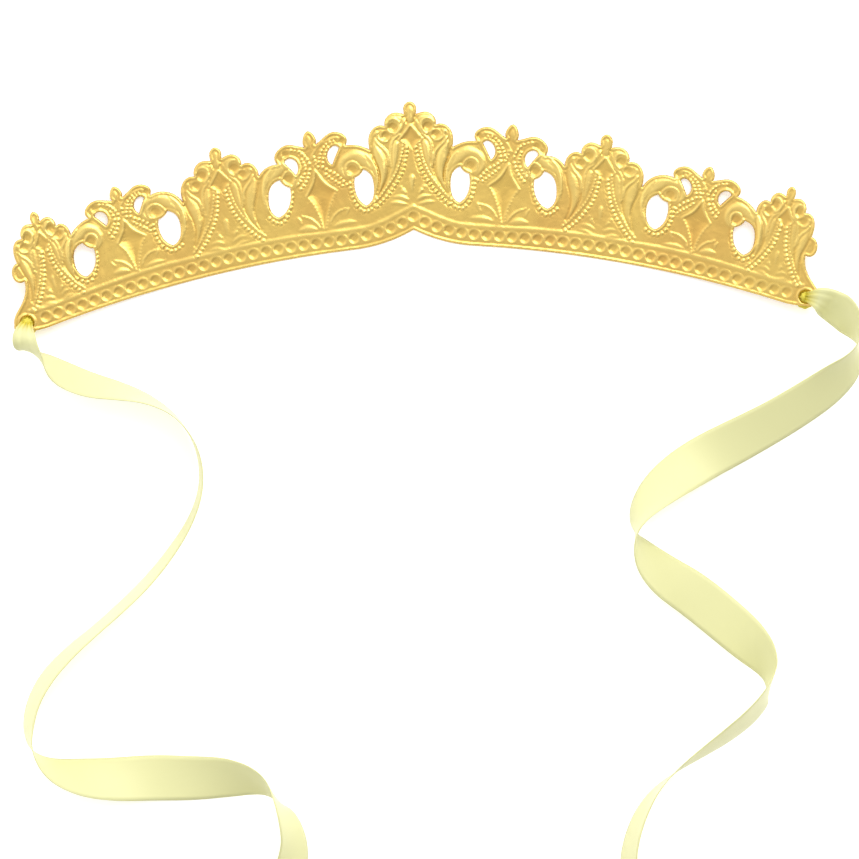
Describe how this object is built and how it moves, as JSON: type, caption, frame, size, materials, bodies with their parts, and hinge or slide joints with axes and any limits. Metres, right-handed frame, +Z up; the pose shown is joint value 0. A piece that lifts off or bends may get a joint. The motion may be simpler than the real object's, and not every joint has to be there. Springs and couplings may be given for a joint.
{
  "type": "paper crown",
  "caption": "Die-cut embossed gold foil-paper crown lying flat, with peaked scrolls, a beaded band and a pale yellow satin ribbon tied through a hole at each end",
  "frame": {"origin": "middle of the crown sheet's outline, on the table it lies on", "axes": "+X along the crown towards its right end as seen from above, +Y towards the peaks, +Z up out of the embossed face"},
  "size_m": [0.2991, 0.3071, 0.022],
  "materials": {
    "foil_paper": "embossed gold metal-foil paper, soft metallic sheen",
    "satin": "pale yellow woven satin ribbon, smooth and lightly glossy"
  },
  "bodies": {
    "root": {"crown_sheet": "foil_paper", "left_ribbon": "satin", "right_ribbon": "satin"}
  },
  "joints": []
}
